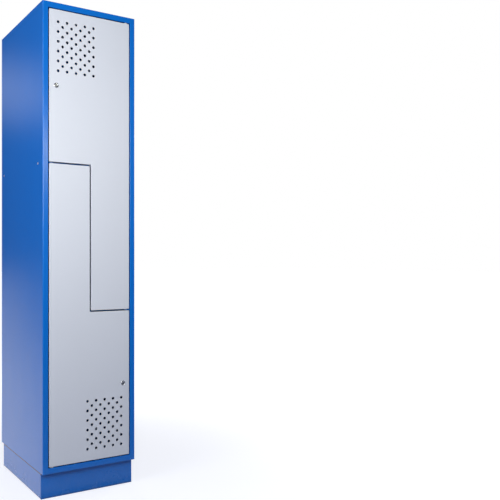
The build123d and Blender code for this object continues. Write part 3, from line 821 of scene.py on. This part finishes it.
for level in halves:
    low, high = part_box(f"{level}_rod_sockets")
    base_radius = (high.z - low.z) / 2
    socket_rings = [
        (0, 0),
        (base_radius, 0),
        (base_radius, base_height - base_round),
        (base_radius - base_round / 3, base_height - base_round / 3),
        (base_radius - base_round, base_height),
        (cup + root_fillet, base_height),
        (cup + root_fillet / 4, base_height + root_fillet / 4),
        (cup, base_height + root_fillet),
        (cup - cup_draft, socket_depth - cup_mouth),
        (cup - cup_lip, socket_depth),
        (cup_bore + cup_mouth, socket_depth),
        (cup_bore, socket_depth - cup_mouth),
        (cup_bore, base_height),
        (0, base_height),
    ]
    sockets = bmesh.new()
    screws = bmesh.new()
    for x, turn in ((low.x, faces_right), (high.x, faces_left)):
        place = Matrix.Translation((x, (low.y + high.y) / 2, (low.z + high.z) / 2)) @ turn
        spun(sockets, socket_rings, place, sides=56)
        for side in (-1, 1):
            seat = place @ Matrix.Translation((0, side * screw_ring, base_height))
            rim = spun(screws, small_screw_rings, seat, sides=28)[-1]
            recess(screws, rim, small_cross, small_cross_depth, seat, small_head, taper=0.6)
    finished(f"{level}_sockets", sockets, black_plastic, "black_plastic", "root", f"{level}_rod_sockets")
    finished(f"{level}_socket_screws", screws, zinc, "zinc_plated_steel", "root")


# Floor and room: a pale floor that keeps the locker's shadow, and a white studio round it. Only reflections
# see the floor's painted glow, bright in a wedge beside the locker, fading with distance, weak at its front.
def either(tree, switch, first, second):
    """Second shader where a switch is on, and the first elsewhere."""
    return put(tree, "ShaderNodeMixShader", {0: switch, 1: first.outputs[0], 2: second.outputs[0]})


def floor_finish():
    """Matt floor, white for the camera but for its shadows, with a painted glow by the locker for
    reflections.
    """
    material, tree, shader, place = finish_of("studio_floor")
    out = tree.nodes["Material Output"]
    shader.inputs["Base Color"].default_value = srgb(150, 154, 168)
    shader.inputs["Roughness"].default_value = 0.9

    # For the camera, the floor is lifted to white, least near the locker, where its shadow lies
    far = put(tree, "ShaderNodeVectorMath", {0: place}, operation="LENGTH").outputs["Value"]
    away = ramp(tree, far, 0.4, 2.0, 0.72, 1.0, "SMOOTHSTEP")
    white = put(tree, "ShaderNodeEmission", {"Color": srgb(255, 255, 255), "Strength": away})
    seen = put(tree, "ShaderNodeAddShader", {0: shader.outputs[0], 1: white.outputs[0]})

    # Painted reflections: glossy rays alone see the floor glow, brightly beside the locker's left side
    # and weakly at its front
    spot = put(tree, "ShaderNodeSeparateXYZ", {0: place}).outputs
    slanted = maths(tree, "ADD", spot["Y"], maths(tree, "MULTIPLY", spot["X"], 3.5))
    near = maths(tree, "POWER", ramp(tree, slanted, -8.0, -1.6), 4.5)
    beside = maths(tree, "SUBTRACT", body_low.x, spot["X"])
    behind = maths(tree, "ADD", spot["Y"], -body_low.y)
    wedge = ramp(tree, maths(tree, "DIVIDE", beside, behind), 0.62, 0.43, interpolation="SMOOTHSTEP")
    past_front = ramp(tree, behind, 0.0, 0.06, 0.0, 1.06)
    side_glow = maths(tree, "MULTIPLY", maths(tree, "MULTIPLY", near, wedge), past_front)
    close_by = ramp(tree, behind, -0.45, -0.12, 0.0, 0.5)
    front_glow = maths(tree, "MULTIPLY", close_by, ramp(tree, behind, 0.0, -0.05))
    reflection_glow = maths(tree, "ADD", side_glow, front_glow)
    glow = put(tree, "ShaderNodeEmission", {"Color": srgb(255, 255, 255), "Strength": reflection_glow})
    glowing_floor = put(tree, "ShaderNodeAddShader", {0: shader.outputs[0], 1: glow.outputs[0]})

    path = put(tree, "ShaderNodeLightPath").outputs
    unseen = either(tree, path["Is Glossy Ray"], shader, glowing_floor)
    shown = either(tree, path["Is Camera Ray"], unseen, seen)
    tree.links.new(shown.outputs[0], out.inputs["Surface"])
    return material


floor_reach = 40.0
corners = [(-floor_reach, -floor_reach, 0), (floor_reach, -floor_reach, 0)]
corners += [(floor_reach, floor_reach, 0), (-floor_reach, floor_reach, 0)]
floor_mesh = bpy.data.meshes.new("studio_floor")
floor_mesh.from_pydata(corners, [], [(0, 1, 2, 3)])
floor_mesh.materials.append(floor_finish())
floor = bpy.data.objects.new("studio_floor", floor_mesh)
bpy.context.scene.collection.objects.link(floor)

world = bpy.data.worlds.new("studio")
world.use_nodes = True
bpy.context.scene.world = world
tree = world.node_tree
path = put(tree, "ShaderNodeLightPath").outputs
direction = put(tree, "ShaderNodeTexCoord").outputs["Generated"]
backward = put(tree, "ShaderNodeSeparateXYZ", {0: direction}).outputs["Y"]
mirrored_level = ramp(tree, backward, 0.0, 0.8, 0.05, 0.1)
room = put(tree, "ShaderNodeBackground", {"Color": srgb(203, 218, 255), "Strength": 0.215})
dim = put(tree, "ShaderNodeBackground", {"Color": srgb(236, 242, 255), "Strength": mirrored_level})
white = put(tree, "ShaderNodeBackground", {"Color": srgb(255, 255, 255), "Strength": 1.0})
unseen = either(tree, path["Is Glossy Ray"], room, dim)
shown = either(tree, path["Is Camera Ray"], unseen, white)
tree.links.new(shown.outputs[0], tree.nodes["World Output"].inputs["Surface"])


# Lamps: the key box close in front at the left, a big box and a fainter fill at the left, one box at the
# right and one behind. The rim box, high behind at the left, is the glow that the left side mirrors, and
# the strip box is the light line on the left stile. The fading ones are bright in the middle only.
def soft_box(name, place, target, size, power, colour=(1.0, 1.0, 1.0), fading=False):
    """Rectangular lamp that points from its place at a target, and may fade from its middle to its edges."""
    lamp = bpy.data.lights.new(name, "AREA")
    lamp.shape = "RECTANGLE"
    lamp.size, lamp.size_y = size
    lamp.energy = power
    lamp.color = colour
    if fading:
        lamp.use_nodes = True
        tree = lamp.node_tree
        across = put(tree, "ShaderNodeNewGeometry").outputs["Parametric"]
        from_middle = {0: across, 1: (0.5, 0.5, 0.0)}
        offset = put(tree, "ShaderNodeVectorMath", from_middle, operation="SUBTRACT").outputs[0]
        flat = put(tree, "ShaderNodeVectorMath", {0: offset, 1: (1.0, 1.0, 0.0)}, operation="MULTIPLY")
        far = put(tree, "ShaderNodeVectorMath", {0: flat.outputs[0]}, operation="LENGTH")
        fade = ramp(tree, far.outputs["Value"], 0.5, 0.0, interpolation="SMOOTHSTEP")
        tree.links.new(fade, tree.nodes["Emission"].inputs["Strength"])
    holder = bpy.data.objects.new(name, lamp)
    holder.location = place
    holder.rotation_euler = (Vector(target) - Vector(place)).to_track_quat("-Z", "Y").to_euler()
    holder.visible_camera = False
    bpy.context.scene.collection.objects.link(holder)


soft_box(
    "key_box", place=(-0.45, -1.75, 1.5), target=(-0.15, -0.25, 1.45), size=(0.8, 0.8),
    power=19.8, colour=(1.0, 1.0, 0.955),
)
soft_box(
    "left_box", place=(-2.1, -0.7, 1.75), target=(-0.2, -0.1, 1.35), size=(1.6, 2.0),
    power=80, fading=True,
)
soft_box(
    "left_fill", place=(-3.0, -1.2, 2.4), target=(-0.2, -0.1, 1.2), size=(2.0, 2.0),
    power=30,
)
soft_box(
    "right_box", place=(2.4, 0.35, 1.6), target=(0.2, 0.0, 1.2), size=(1.0, 1.0),
    power=16,
)
soft_box(
    "back_box", place=(0.5, 2.5, 1.85), target=(0.0, 0.25, 1.1), size=(1.9, 1.7),
    power=50, fading=True,
)
soft_box(
    "rim_box", place=(-0.8, 1.75, 2.09), target=(-0.2, -0.05, 1.6), size=(1.0, 0.75),
    power=1.9, fading=True,
)
soft_box(
    "strip_box", place=(0.605, -2.25, 1.7), target=(-0.19, -0.25, 1.33), size=(0.12, 0.36),
    power=12, colour=(1.0, 1.0, 0.72), fading=True,
)


# Camera: level, at the photograph's viewpoint in front of the left corner. Its shift only puts the
# locker where the photograph's frame has it.
image_side = 500
focal_pixels = 626.6
centre_x_pixels = 124.4
horizon_y_pixels = 258.45
viewpoint = (-1.074, -2.474, 0.921)
turn = math.radians(28.87)
lens = bpy.data.cameras.new("camera")
lens.sensor_width = 36.0
lens.lens = focal_pixels / image_side * lens.sensor_width
lens.shift_x = (image_side / 2 - centre_x_pixels) / image_side
lens.shift_y = (horizon_y_pixels - image_side / 2) / image_side
lens.clip_start = 0.05
camera = bpy.data.objects.new("camera", lens)
camera.location = viewpoint
camera.rotation_euler = Vector((math.sin(turn), math.cos(turn), 0)).to_track_quat("-Z", "Y").to_euler()
bpy.context.scene.collection.objects.link(camera)
bpy.context.scene.camera = camera
bpy.context.scene.view_settings.view_transform = "Standard"
